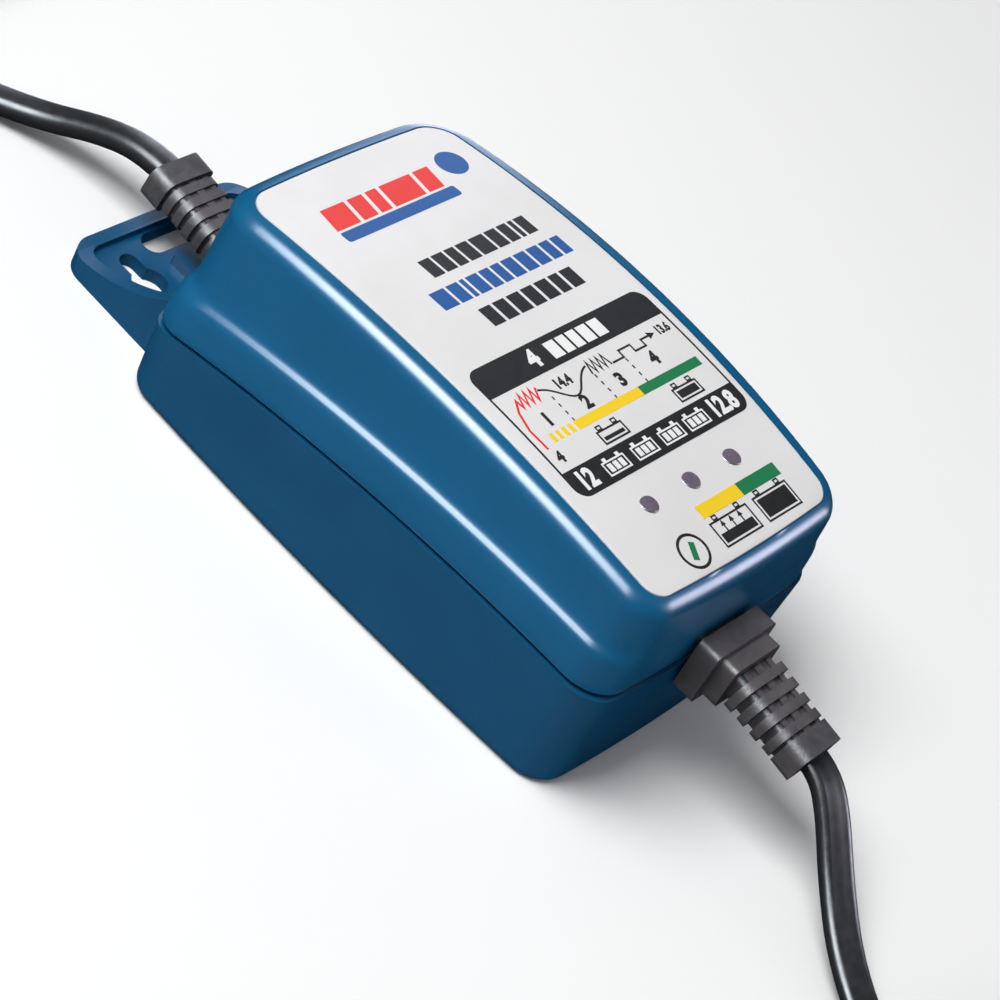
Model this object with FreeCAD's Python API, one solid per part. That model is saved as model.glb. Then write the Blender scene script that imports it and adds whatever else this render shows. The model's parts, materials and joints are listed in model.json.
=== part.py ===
"""Car battery charger: a two-piece moulded case with a wall bracket, the charger's electronics,
a mains lead with a two-pin plug and an output lead with a capped two-pin connector.

Frame: millimetres, +Z up. The origin is the centre of the case's flat base. +X is the width,
+Y points to the mains lead's end and -Y to the output lead's end, where the lights are.
"""
import FreeCAD, Part
import math
import os

from FreeCAD import Vector

os.makedirs("parts", exist_ok=True)

# ---- driving dimensions: case ----
HALF_WIDTH = 32.0        # lower case, at the parting line, halfway along
HALF_LENGTH = 49.7
SIDE_BOW = 2.0           # how far the sides come in from the middle to the ends
END_BOW = 1.0
CORNER_R = 6.5
CROWN = 43.4             # top of the arched face
ARCH_SAG = 4.66          # drop of the arch at the case's ends
DRAFT = 0.9              # the lower case's narrowing at its base
WALL = 2.2
LEDGE = 0.8              # the lower case stands this proud of the upper case
SEAM = 0.55              # gap between the two cases
SHOULDER = 8.5           # height of the upper case's shoulder above the parting line
PARTING_MID = 21.5
PARTING_SAG = 4.9
PARTING_FALL = 4.2       # the parting line falls this much from the middle to the rear, besides its sag
LABEL_HALF_WIDTH = 24.4
LABEL_HALF_LENGTH = 45.5
LABEL_Y = -0.4
LABEL_THICK = 0.4
LABEL_BOW = 1.5
LABEL_R = 3.3

# ---- driving dimensions: bracket ----
FLANGE_HALF_WIDTH = 20.6
FLANGE_END = 72.0
PLATE_THICK = 2.6
RIM_HEIGHT = 3.7
RIM_WIDTH = 2.4
GUSSET_HEIGHT = 12.6     # the bracket's side walls reach this high at the case
SLOT_Y = 66.7
SLOT_LENGTH = 13.4
SLOT_WIDTH = 4.6
PAD_HEIGHT = 4.4         # the block that carries the mains lead's sleeve
KEYHOLE_X = 11.8
KEYHOLE_Y = 60.0
KEYHOLE_R = 3.2
KEYHOLE_SLOT = 3.6
KEYHOLE_RUN = 5.1

# ---- driving dimensions: lights and board ----
LIGHT_SPACING = 10.8
LIGHT_Y = -32.2
LIGHT_R = 1.7
BOARD_Z = 7.0
BOARD_THICK = 1.6
BOARD_HALF_WIDTH = 27.4
BOARD_HALF_LENGTH = 45.4
SLEEVE_NOTCH_Y = 40.2    # the board is cut away here, under the mains sleeve
BOSS_X = 24.5
BOSS_Y = 42.0
BOSS_R = 3.4
SCREW_R = 1.5

# ---- driving dimensions: leads ----
CORD_D = 4.4             # round section of the same area as each flat lead
AC_Z = 9.6               # middle of the mains sleeve at the case's rear wall
AC_TILT = 7.0            # the mains sleeve points up by this angle
DC_Z = 21.2
DC_TILT = -10.0
SLEEVE_HOLE_W = 9.0      # the sleeves pass through the walls in holes of this size
SLEEVE_HOLE_H = 6.0
COIL_R = 31.0            # middle of the turns
COIL_HALF_WIDTH = 6.4
COIL_HEIGHT = 17.6       # four layers of the thicker mains flex
OUTPUT_COIL_HEIGHT = 13.4
AC_COIL = Vector(0, 167, 0)
DC_COIL = Vector(0, -158, 0)
PLUG_Z = 24.6            # the plug lies on its coil
CONNECTOR_Z = 18.0

BOARD_TOP = BOARD_Z + BOARD_THICK


def parting(y):
    """Height of the parting line."""
    return PARTING_MID - PARTING_SAG * (y / HALF_LENGTH) ** 2 - PARTING_FALL * y / HALF_LENGTH


def arch(y):
    """Height of the arched top face."""
    return CROWN - ARCH_SAG * (y / HALF_LENGTH) ** 2


def below(height, lift=0.0, floor=-60.0):
    """Everything under a parabola over Y, raised by lift."""
    reach = 80.0
    a, b = height(-reach) + lift, height(reach) + lift
    middle = height(0.0) + lift
    peak = 2 * middle - (a + b) / 2
    curve = Part.BezierCurve()
    curve.setPoles([Vector(-200, -reach, a), Vector(-200, 0, peak), Vector(-200, reach, b)])
    sides = [
        Part.makeLine(Vector(-200, reach, b), Vector(-200, reach, floor)),
        Part.makeLine(Vector(-200, reach, floor), Vector(-200, -reach, floor)),
        Part.makeLine(Vector(-200, -reach, floor), Vector(-200, -reach, a)),
    ]
    face = Part.Face(Part.Wire([curve.toShape()] + sides))
    return face.extrude(Vector(400, 0, 0))


def outline(z, half_width, half_length, side_bow, end_bow, radius, y=0.0):
    """A rounded rectangle with bowed sides and ends, as a wire at height z."""
    w, s = half_width - side_bow, half_length - end_bow
    corners = [Vector(w, y + s, z), Vector(-w, y + s, z), Vector(-w, y - s, z), Vector(w, y - s, z)]
    bulges = [
        Vector(0, y + half_length, z),
        Vector(-half_width, y, z),
        Vector(0, y - half_length, z),
        Vector(half_width, y, z),
    ]
    arcs = []
    for i in range(4):
        arcs.append(Part.Arc(corners[i], bulges[i], corners[(i + 1) % 4]).toShape())
    wire = Part.Wire(arcs)
    solid = Part.Face(wire).extrude(Vector(0, 0, 10))
    uprights = [e for e in solid.Edges if abs(e.BoundBox.ZLength - 10) < 0.01]
    rounded = solid.makeFillet(radius, uprights)
    bottom = min(rounded.Faces, key=lambda f: f.CenterOfMass.z)
    return bottom.OuterWire


def prism(z0, z1, *shape, **place):
    return Part.Face(outline(z0, *shape, **place)).extrude(Vector(0, 0, z1 - z0))


def case_loft(z0, z1, low, high):
    return Part.makeLoft([outline(z0, *low), outline(z1, *high)], True, True)


def box(x0, x1, y0, y1, z0, z1):
    return Part.makeBox(x1 - x0, y1 - y0, z1 - z0, Vector(x0, y0, z0))


def cylinder(r, x, y, z0, z1):
    return Part.makeCylinder(r, z1 - z0, Vector(x, y, z0))


def light_holes(r):
    """Three round cutters, one at each light."""
    cutters = []
    for k in (-1, 0, 1):
        cutter = cylinder(r, k * LIGHT_SPACING, LIGHT_Y, 32, 50)
        cutter.rotate(Vector(k * LIGHT_SPACING, LIGHT_Y, 0), Vector(0, 0, 1), 37)
        cutters.append(cutter)
    return Part.makeCompound(cutters)


def rod_y(r, x, z, y0, y1):
    return Part.makeCylinder(r, y1 - y0, Vector(x, y0, z), Vector(0, 1, 0))


def fuse(shapes):
    return shapes[0].multiFuse(shapes[1:]).removeSplitter()


def rounded_box(x0, x1, y0, y1, z0, z1, r, along):
    """A box whose edges along one axis are rounded."""
    solid = box(x0, x1, y0, y1, z0, z1)
    size = {"X": x1 - x0, "Y": y1 - y0, "Z": z1 - z0}[along]
    edges = [e for e in solid.Edges if abs(getattr(e.BoundBox, along + "Length") - size) < 1e-6]
    return solid.makeFillet(r, edges)


def save(name, shape):
    shape.exportStep("parts/" + name + ".step")
    print(name, "solids", len(shape.Solids), "valid", shape.isValid(), "volume", round(shape.Volume, 1))


# ---- case ----
def sleeve_holes():
    """Holes for the two lead sleeves, through the walls of both case halves."""
    w, h = SLEEVE_HOLE_W / 2, SLEEVE_HOLE_H / 2
    rear = box(-w, w, HALF_LENGTH - 6, HALF_LENGTH + 3, AC_Z - h, AC_Z + h)
    front = box(-w, w, -HALF_LENGTH - 3, -HALF_LENGTH + 6, DC_Z - h, DC_Z + h)
    return Part.makeCompound([rear, front])


def corner_bosses(z0, height, r):
    posts = []
    for sx in (-1, 1):
        for sy in (-1, 1):
            posts.append(cylinder(r, sx * BOSS_X, sy * BOSS_Y, z0, height(sy * BOSS_Y)))
    return posts


def screw_holes(r, z0, z1):
    return Part.makeCompound([cylinder(r, sx * BOSS_X, sy * BOSS_Y, z0, z1) for sx in (-1, 1) for sy in (-1, 1)])


def bracket():
    """The moulded flange behind the case: a flat plate with a raised rim and side walls that rise to it."""
    inner = HALF_LENGTH - 4.0
    top = Part.Arc(
        Vector(-30, 70, RIM_HEIGHT), Vector(-30, 60.7, 5.6), Vector(-30, inner, GUSSET_HEIGHT + 3.4)
    ).toShape()
    lines = [
        Vector(-30, inner, GUSSET_HEIGHT + 3.4),
        Vector(-30, inner, 0),
        Vector(-30, FLANGE_END + 1, 0),
        Vector(-30, FLANGE_END + 1, RIM_HEIGHT),
        Vector(-30, 70, RIM_HEIGHT),
    ]
    sides = [Part.makeLine(a, b) for a, b in zip(lines, lines[1:])]
    wedge = Part.Face(Part.Wire([top] + sides)).extrude(Vector(60, 0, 0))
    w, e = FLANGE_HALF_WIDTH, FLANGE_END
    plan = Part.makePolygon(
        [Vector(w + 1, inner, 0), Vector(w, e, 0), Vector(-w, e, 0), Vector(-w - 1, inner, 0), Vector(w + 1, inner, 0)]
    )
    block = Part.Face(plan).extrude(Vector(0, 0, 30))
    block = block.makeFillet(
        5.0, [d for d in block.Edges if d.BoundBox.ZLength > 29 and d.CenterOfMass.y > FLANGE_END - 1]
    )
    pocket = rounded_box(
        -w + RIM_WIDTH, w - RIM_WIDTH, inner - 5, e - RIM_WIDTH, PLATE_THICK, 40, 3.0, "Z"
    )
    pad = rounded_box(-5.2, 5.2, inner, 62.4, PLATE_THICK - 0.5, PAD_HEIGHT, 1.0, "Z")
    solid = wedge.common(block).cut(pocket).fuse(pad.common(block))
    return solid


def bracket_holes():
    half = SLOT_LENGTH / 2 - SLOT_WIDTH / 2
    cuts = [
        box(-half, half, SLOT_Y - SLOT_WIDTH / 2, SLOT_Y + SLOT_WIDTH / 2, -1, 8),
        cylinder(SLOT_WIDTH / 2, -half, SLOT_Y, -1, 8),
        cylinder(SLOT_WIDTH / 2, half, SLOT_Y, -1, 8),
    ]
    for sx in (-1, 1):
        x = sx * KEYHOLE_X
        cuts.append(cylinder(KEYHOLE_R, x, KEYHOLE_Y, -1, 8))
        cuts.append(box(x - KEYHOLE_SLOT / 2, x + KEYHOLE_SLOT / 2, KEYHOLE_Y, KEYHOLE_Y + KEYHOLE_RUN, -1, 8))
        cuts.append(cylinder(KEYHOLE_SLOT / 2, x, KEYHOLE_Y + KEYHOLE_RUN, -1, 8))
    return fuse(cuts)


def bottom_shell():
    low = (HALF_WIDTH - DRAFT - 0.3, HALF_LENGTH - DRAFT - 0.3, SIDE_BOW - 0.4, END_BOW, CORNER_R)
    high = (HALF_WIDTH - 0.3, HALF_LENGTH - 0.2, SIDE_BOW, END_BOW, CORNER_R)
    outer = case_loft(0, 26, low, high)
    outer = outer.makeFillet(1.6, [e for e in outer.Edges if e.BoundBox.ZMax < 0.01])
    inner = case_loft(
        2.4, 26.5, (low[0] - WALL, low[1] - WALL, low[2], low[3], 4.5), (high[0] - WALL, high[1] - WALL, high[2], high[3], 4.5)
    )
    shell = outer.common(below(parting)).cut(inner)
    back = bracket().cut(case_loft(0, 26, low, high))
    solid = fuse([shell, back] + corner_bosses(2.0, lambda y: BOARD_Z, BOSS_R + 1.2))
    recess = box(-19, 19, -26, 26, -1, 0.35)
    for cutter in (bracket_holes(), screw_holes(SCREW_R + 0.2, -1, 30), screw_holes(3.1, -1, 2.6), recess):
        solid = solid.cut(cutter)
    return solid.cut(sleeve_holes())


def upper_outer(inset, lift):
    """The outer form of the upper case, or with an inset the form of its hollow."""
    r = max(CORNER_R - inset, 2.0)
    skirt = prism(
        5, 45, HALF_WIDTH - LEDGE - inset, HALF_LENGTH - LEDGE - inset, SIDE_BOW, END_BOW, r
    ).common(below(parting, SHOULDER - lift))
    foot = (HALF_WIDTH - LEDGE - 0.6 - inset, HALF_LENGTH - LEDGE - 0.4 - inset, SIDE_BOW, END_BOW, r + 0.5)
    head = (HALF_WIDTH - 3.9 - inset, HALF_LENGTH - 1.3 - inset, SIDE_BOW - 0.4, END_BOW, r + 0.5)
    block = case_loft(10, 46, foot, head).common(below(arch, -lift))
    return skirt, block


def round_top(shape, height, r):
    """Rounds the edges where the upper face meets the sides."""
    edges = []
    for e in shape.Edges:
        points = e.discretize(3)
        if all(abs(p.z - height(p.y)) < 0.05 for p in points):
            edges.append(e)
    return shape.makeFillet(r, edges)


def top_shell():
    skirt, block = upper_outer(0.0, 0.0)
    skirt = round_top(skirt, lambda y: parting(y) + SHOULDER, 2.0)
    block = round_top(block, arch, 3.5)
    skirt_in, block_in = upper_outer(WALL, WALL)
    solid = fuse([skirt, block]).cut(fuse([skirt_in, block_in]))
    posts = corner_bosses(BOARD_TOP + 0.1, lambda y: arch(y) - 1.5, BOSS_R)
    solid = fuse([solid.cut(below(parting, SEAM))] + [p.common(fuse([skirt, block])) for p in posts])
    recess = prism(
        30,
        60,
        LABEL_HALF_WIDTH + 0.6,
        LABEL_HALF_LENGTH + 0.6,
        LABEL_BOW,
        0.7,
        LABEL_R + 0.6,
        y=LABEL_Y,
    ).cut(below(arch, -LABEL_THICK))
    for cutter in (recess, light_holes(LIGHT_R), screw_holes(SCREW_R, 0, 22)):
        solid = solid.cut(cutter)
    left = solid.cut(sleeve_holes()).common(box(-60, 0, -60, 60, -10, 80))
    return left.fuse(left.mirror(Vector(0, 0, 0), Vector(1, 0, 0)))


def face_label():
    sheet = prism(
        30, 60, LABEL_HALF_WIDTH, LABEL_HALF_LENGTH, LABEL_BOW, 0.7, LABEL_R, y=LABEL_Y
    ).common(below(arch)).cut(below(arch, -LABEL_THICK))
    return sheet.cut(light_holes(LIGHT_R + 0.15))


def case_seal():
    """Soft cord seal inside the seam."""
    w, s = HALF_WIDTH - WALL - 0.25, HALF_LENGTH - WALL - 0.25
    outer = prism(4, 30, w, s, SIDE_BOW, END_BOW, 4.2)
    inner = prism(3, 31, w - 1.2, s - 1.2, SIDE_BOW, END_BOW, 3.2)
    ring = outer.cut(inner).common(below(parting, -0.4)).cut(below(parting, -2.2))
    posts = Part.makeCompound(corner_bosses(0, lambda y: 40, BOSS_R + 0.3))
    return ring.cut(posts).cut(sleeve_holes())


# ---- lead sleeves: built out along +Y from the wall's outer face at y = 0, then placed ----
def sleeve(base_blocks, ribs, pitch, rib, core, end, tilt, groove):
    """A moulded lead sleeve: a keyed inner part, blocks against the wall, then a ribbed stem and an end block.

    base_blocks: (width, height, length) of each; rib, core and end: (width, height, length) or (width, height).
    """
    w, h = SLEEVE_HOLE_W / 2, SLEEVE_HOLE_H / 2
    inside = groove + 3.0
    pieces = [
        rounded_box(-w, w, -inside - 3, 0.4, -h, h, 0.8, "Y"),
        rounded_box(-w - 1.4, w + 1.4, -inside, -groove, -h - 1.4, h + 1.4, 1.0, "Y"),
    ]
    y = 0.0
    for width, height, length in base_blocks:
        pieces.append(rounded_box(-width / 2, width / 2, y, y + length, -height / 2, height / 2, 1.2, "Y"))
        y += length - 0.01
    span = ribs * pitch + 0.6
    stem = [rounded_box(-core[0] / 2, core[0] / 2, -0.8, span + 0.5, -core[1] / 2, core[1] / 2, 1.0, "Y")]
    for i in range(ribs):
        at = (i + 1) * pitch - rib[2]
        taper = 1 - 0.08 * (i + 1) / ribs
        rw, rh = rib[0] * taper / 2, rib[1] * taper / 2
        stem.append(rounded_box(-rw, rw, at, at + rib[2], -rh, rh, 2.4, "Y"))
    stem.append(box(-0.8, 0.8, -0.2, span, -rib[1] * 0.42, rib[1] * 0.42))
    for sx in (-1, 1):
        stem.append(box(sx * 3.1 - 0.55, sx * 3.1 + 0.55, -0.2, span, -rib[1] * 0.4, rib[1] * 0.4))
    stem.append(rounded_box(-end[0] / 2, end[0] / 2, span, span + end[2], -end[1] / 2, end[1] / 2, 2.0, "Y"))
    stem = fuse(stem)
    stem.rotate(Vector(0, 0, 0), Vector(1, 0, 0), tilt)
    stem.translate(Vector(0, y, 0))
    return fuse(pieces + [stem])


def mains_sleeve():
    shape = sleeve(
        [(12.4, 8.8, 2.2)], 6, 2.6, (11.6, 6.6, 1.6), (9.0, 4.8), (11.4, 6.8, 4.2), AC_TILT, WALL + 0.8
    )
    shape.translate(Vector(0, HALF_LENGTH + 0.1, AC_Z))
    return shape


def output_sleeve():
    shape = sleeve(
        [(16.0, 10.6, 4.0), (12.4, 8.4, 3.0)],
        4,
        2.9,
        (12.2, 6.8, 1.6),
        (9.0, 4.6),
        (10.6, 6.6, 4.0),
        DC_TILT,
        WALL + 0.8,
    )
    shape.rotate(Vector(0, 0, 0), Vector(0, 0, 1), 180)
    shape.translate(Vector(0, -HALF_LENGTH - 0.1, DC_Z))
    return shape


# ---- leads ----
def tube(points, diameter, name):
    """A round tube along straight runs joined by tangent arcs, each as large as its two runs allow."""
    edges, start, radii = [], points[0], []
    for before, at, after in zip(points, points[1:], points[2:]):
        into, out = at - before, after - at
        turn = into.getAngle(out)
        shorter = min(into.Length, out.Length)
        radius = 0.45 * shorter / math.tan(turn / 2)
        radii.append(round(radius, 1))
        cut = 0.45 * shorter
        a = at - Vector(into).normalize() * cut
        b = at + Vector(out).normalize() * cut
        bisector = (Vector(out).normalize() - Vector(into).normalize()).normalize()
        centre = at + bisector * (radius / math.cos(turn / 2))
        middle = centre - bisector * radius
        if (a - start).Length > 1e-6:
            edges.append(Part.LineSegment(start, a).toShape())
        edges.append(Part.Arc(a, middle, b).toShape())
        start = b
    edges.append(Part.LineSegment(start, points[-1]).toShape())
    path = Part.Wire(edges)
    ring = Part.Wire([Part.makeCircle(diameter / 2, points[0], points[1] - points[0])])
    solid = path.makePipeShell([ring], True, False)
    section = math.pi * diameter**2 / 4
    print(name, "length", round(path.Length, 1), "radii", radii)
    print(name, "volume over section times length", round(solid.Volume / (section * path.Length), 4))
    return solid


def coil(centre, height):
    """The outer shape of a tied coil: a ring with rounded corners."""
    ring = Part.makeCylinder(COIL_R + COIL_HALF_WIDTH, height, centre)
    hole = Part.makeCylinder(COIL_R - COIL_HALF_WIDTH, height, centre)
    solid = ring.cut(hole)
    rims = [e for e in solid.Edges if len(e.Vertexes) == 1 and e.BoundBox.ZLength < 0.01]
    return solid.makeFillet(2.0, rims)


def tie(centre, angle, height):
    """A strap wrapped once round the coil's bundle, at one angle."""
    reach = COIL_HALF_WIDTH
    outer = rounded_box(COIL_R - reach - 1.0, COIL_R + reach + 1.0, -4, 4, 0.0, height + 1.0, 2.0, "Y")
    inner = rounded_box(COIL_R - reach - 0.05, COIL_R + reach + 0.05, -5, 5, 0.9, height + 0.05, 1.5, "Y")
    strap = outer.cut(inner)
    strap.rotate(Vector(0, 0, 0), Vector(0, 0, 1), angle)
    strap.translate(centre)
    return strap



def lead_points(rows, centre=Vector(0, 0, 0), side=1, ahead=1):
    return [Vector(side * x, ahead * y, z) + centre for x, y, z in rows]


# Each lead runs from its sleeve down to the floor and on to the outer turn of its coil.
AC_LEAD = [
    (0.0, 72.2, 12.2),
    (0.0, 78.0, 12.2),
    (-0.5, 87.0, 8.9),
    (-3.0, 97.0, 4.0),
    (-9.0, 109.0, 2.2),
    (-17.0, 121.0, 2.2),
    (-24.5, 133.0, 2.3),
    (-27.6, 140.5, 2.6),
]
DC_LEAD = [
    (0.0, -72.3, 18.4),
    (-1.2, -78.0, 16.4),
    (-4.5, -87.0, 9.6),
    (-9.5, -97.0, 4.0),
    (-15.0, -108.0, 2.2),
    (-21.0, -119.5, 2.2),
    (-26.0, -131.0, 2.3),
    (-28.4, -138.5, 2.6),
]
# Each tail leaves the top of its coil and turns back over it: from the coil's middle, mirrored for the output lead.
TAIL = [
    (-29.9, 8.0, -9.4),
    (-27.8, 16.0, -7.4),
    (-17.9, 26.0, -4.0),
    (-6.9, 29.6, -1.4),
    (4.4, 27.8, -0.4),
    (13.8, 21.0, 0.0),
    (19.0, 10.8, 0.0),
    (19.0, 3.0, 0.0),
]


def plug_body():
    """A flat two-pin mains plug with a waisted grip and sleeved pins, heading -Y from its tail at y = 0."""
    def section(y, width, height, r):
        wire = rounded_box(-width / 2, width / 2, 0, 1, -height / 2, height / 2, r, "Y")
        face = min(wire.Faces, key=lambda f: f.CenterOfMass.y)
        outline_wire = face.OuterWire
        outline_wire.translate(Vector(0, -y, 0))
        return outline_wire

    stations = [(0, 8.0, 6.5, 2.5), (9, 10.0, 8.0, 3.0), (16, 24.0, 11.0, 4.0), (24, 29.0, 12.4, 4.5), (36, 35.3, 13.7, 5.0)]
    body = Part.makeLoft([section(*s) for s in stations], True, False)
    for x in (-9.5, 9.5):
        body = body.fuse(rod_y(1.7, x, 0, -46, -35))
    for x in (-9.5, 9.5):
        body = body.cut(rod_y(1.5, x, 0, -47, -20))
    return body


def plug_pins():
    pins = []
    for x in (-9.5, 9.5):
        pins.append(rod_y(1.5, x, 0, -46, -20).fuse(rod_y(2.0, x, 0, -55, -46)).removeSplitter())
    return Part.makeCompound(pins)


def connector_body():
    """A flat two-pole low-voltage connector heading -Y: one covered contact and one bare pin."""
    parts = [
        rounded_box(-4.2, 4.2, -10, 0, -2.6, 2.6, 2.0, "Y"),
        rounded_box(-7.6, 7.6, -23, -8, -4.3, 4.3, 3.0, "Y"),
        rod_y(3.4, -3.8, 0, -35, -22),
    ]
    body = fuse(parts)
    for x in (-3.8, 3.8):
        body = body.cut(rod_y(2.0, x, 0, -36, -12))
    return body


def connector_contacts():
    tube_contact = rod_y(2.0, -3.8, 0, -34, -12).cut(rod_y(1.6, -3.8, 0, -35, -20))
    pin = rod_y(2.0, 3.8, 0, -25, -12).fuse(rod_y(1.55, 3.8, 0, -33.5, -25)).removeSplitter()
    return Part.makeCompound([tube_contact, pin])


def dust_cap():
    """A push-on rubber cap over the connector's nose, closed at its end."""
    shell = rounded_box(-8.4, 8.4, -37.4, -23.3, -4.4, 4.4, 3.0, "Y")
    return shell.cut(rod_y(3.7, -3.8, 0, -35.6, -20)).cut(rod_y(2.6, 3.8, 0, -35.6, -20))


def placed(shape, coil_centre, side, z, ahead=1):
    """Lay a plug or connector at its tail's end; with ahead -1 it is turned round, to head +Y."""
    if ahead < 0:
        shape.rotate(Vector(0, 0, 0), Vector(0, 0, 1), 180)
    shape.translate(coil_centre + Vector(side * TAIL[-1][0], ahead * TAIL[-1][1], z))
    return shape


# ---- inside ----
def circuit_board():
    board = prism(BOARD_Z, BOARD_TOP, BOARD_HALF_WIDTH, BOARD_HALF_LENGTH, 1.2, 0.8, 5.0)
    notch = box(-7, 7, SLEEVE_NOTCH_Y, BOARD_HALF_LENGTH + 1, 0, 20)
    return board.cut(screw_holes(SCREW_R + 0.3, 0, 20)).cut(notch)


def on_board(x, y, length, width, height, r=0.0, lift=0.0):
    z = BOARD_TOP + lift
    if r:
        return rounded_box(x - length / 2, x + length / 2, y - width / 2, y + width / 2, z, z + height, r, "Z")
    return box(x - length / 2, x + length / 2, y - width / 2, y + width / 2, z, z + height)


def pins_under(x, y, spots, r=0.4):
    """Short leads from a component down onto the board."""
    return [cylinder(r, x + dx, y + dy, BOARD_TOP, BOARD_TOP + 2.2) for dx, dy in spots]


def can(x, y, r, height):
    """A radial capacitor can with a rolled groove near its foot."""
    body = cylinder(r, x, y, BOARD_TOP, BOARD_TOP + height)
    body = body.makeFillet(0.8, [body.Edges[0]])
    groove = cylinder(r + 1, x, y, BOARD_TOP + 2.0, BOARD_TOP + 3.0).cut(
        cylinder(r - 0.5, x, y, BOARD_TOP + 1.5, BOARD_TOP + 3.5)
    )
    return body.cut(groove)


def transformer(x, y):
    """An E-core on a bobbin: the core's solid and the wound bobbin's solid."""
    core = on_board(x, y, 26, 13, 21, lift=1.2)
    for sx in (-1, 1):
        core = core.cut(on_board(x + sx * 7.2, y, 6.4, 14, 14.6, lift=4.4))
    winding = on_board(x, y, 20.6, 22, 14.2, 4.0, lift=4.6).cut(on_board(x, y, 8.0, 24, 14.2, lift=4.6))
    outside = on_board(x, y, 20.6, 13, 14.2, lift=4.6)
    ends = winding.cut(outside)
    middle = winding.common(outside)
    bars = [on_board(x, y + sy * 9.0, 9.0, 4.0, 14.2, lift=4.6) for sy in (-1, 1)]
    feet = [on_board(x, y + sy * 9.5, 18.0, 3.0, 4.7) for sy in (-1, 1)]
    return core, fuse([ends, middle] + bars + feet)


def choke(x, y):
    """A wound toroid standing on edge."""
    ring = Part.makeTorus(6.0, 2.6, Vector(x, y, BOARD_TOP + 8.7), Vector(0, 1, 0))
    base = on_board(x, y, 8, 5, 1.4)
    return fuse([ring, base])


def fuse_link(x, y):
    """A glass fuse in two clips, lying along Y."""
    z = BOARD_TOP + 4.4
    caps = [rod_y(2.6, x, z, y - 10, y - 5), rod_y(2.6, x, z, y + 5, y + 10)]
    clips = [on_board(x, y + sy * 7.5, 6.4, 3.4, 3.0) for sy in (-1, 1)]
    return fuse(caps + clips + [rod_y(2.2, x, z, y - 6, y + 6)])


def power_package(x, y, facing):
    """A flat-tab power package standing up, its tab towards facing along X."""
    tab = on_board(x + facing * 1.9, y, 1.3, 10, 15.5, lift=3.0)
    body = on_board(x, y, 3.2, 10, 9.2, lift=3.0)
    legs = [on_board(x, y + dy, 0.7, 0.9, 3.4) for dy in (-2.5, 0, 2.5)]
    return fuse([tab, body] + legs)


def heatsink(x, y, facing):
    """A finned plate that the package's tab lies against."""
    plate = on_board(x, y, 1.8, 22, 20)
    fins = [on_board(x + facing * 2.2, y + k * 4.2, 2.8, 1.0, 20) for k in range(-2, 3)]
    return fuse([plate] + fins)


def case_screws():
    screws = []
    for sx in (-1, 1):
        for sy in (-1, 1):
            x, y = sx * BOSS_X, sy * BOSS_Y
            head = cylinder(2.8, x, y, 0.5, 2.6)
            slots = box(x - 2, x + 2, y - 0.4, y + 0.4, 0.4, 1.6).fuse(box(x - 0.4, x + 0.4, y - 2, y + 2, 0.4, 1.6))
            screws.append(head.cut(slots).fuse(cylinder(SCREW_R, x, y, 2.5, 20)).removeSplitter())
    return Part.makeCompound(screws)


def wire_pair(y0, y1, z0, spread, r, pads_y):
    """Two insulated wires from a sleeve's inner end down to the board."""
    wires = []
    for sx in (-1, 1):
        a = Vector(sx * 1.8, y0, z0)
        b = Vector(sx * 1.9, y1, z0)
        c = Vector(sx * spread, pads_y, BOARD_TOP + 4.0)
        d = Vector(sx * spread, pads_y, BOARD_TOP)
        wires.append(short_wire([a, b, c, d], r))
    return Part.makeCompound(wires)


def short_wire(points, r):
    path = Part.makePolygon(points)
    ring = Part.Wire([Part.makeCircle(r, points[0], points[1] - points[0])])
    return path.makePipeShell([ring], True, False, 2)


def light_pipes():
    pipes = []
    for k in (-1, 0, 1):
        x = k * LIGHT_SPACING
        pipe = cylinder(LIGHT_R, x, LIGHT_Y, BOARD_TOP + 6.0, 60)
        pipes.append(pipe.common(below(arch, -0.05)))
    return Part.makeCompound(pipes)


def status_lights():
    lamps = []
    for k in (-1, 0, 1):
        x = k * LIGHT_SPACING
        dome = Part.makeSphere(1.5, Vector(x, LIGHT_Y, BOARD_TOP + 4.2))
        lamps.append(
            fuse([cylinder(1.9, x, LIGHT_Y, BOARD_TOP, BOARD_TOP + 1.2), cylinder(1.5, x, LIGHT_Y, BOARD_TOP, BOARD_TOP + 4.2), dome])
        )
    return Part.makeCompound(lamps)


save("bottom_shell", bottom_shell())
save("top_shell", top_shell())
save("case_seal", case_seal())
save("face_label", face_label())
save("rating_plate", rounded_box(-18.7, 18.7, -25.7, 25.7, 0.0, 0.35, 2.0, "Z"))
save("case_screws", case_screws())
save("light_pipes", light_pipes())

# Each lead's first millimetre sits in a pocket in its sleeve's end.
mains_lead = tube(lead_points(AC_LEAD), CORD_D, "mains lead")
output_lead = tube(lead_points(DC_LEAD), CORD_D, "output lead")
save("mains_sleeve", mains_sleeve().cut(mains_lead))
save("mains_cord", mains_lead)
save("mains_coil", coil(AC_COIL, COIL_HEIGHT))
save("mains_tie", tie(AC_COIL, 20, COIL_HEIGHT))
save("mains_tail", tube(lead_points(TAIL, AC_COIL + Vector(0, 0, PLUG_Z), -1, -1), CORD_D, "mains tail"))
save("plug_body", placed(plug_body(), AC_COIL, -1, PLUG_Z, -1))
save("plug_pins", placed(plug_pins(), AC_COIL, -1, PLUG_Z, -1))

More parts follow.
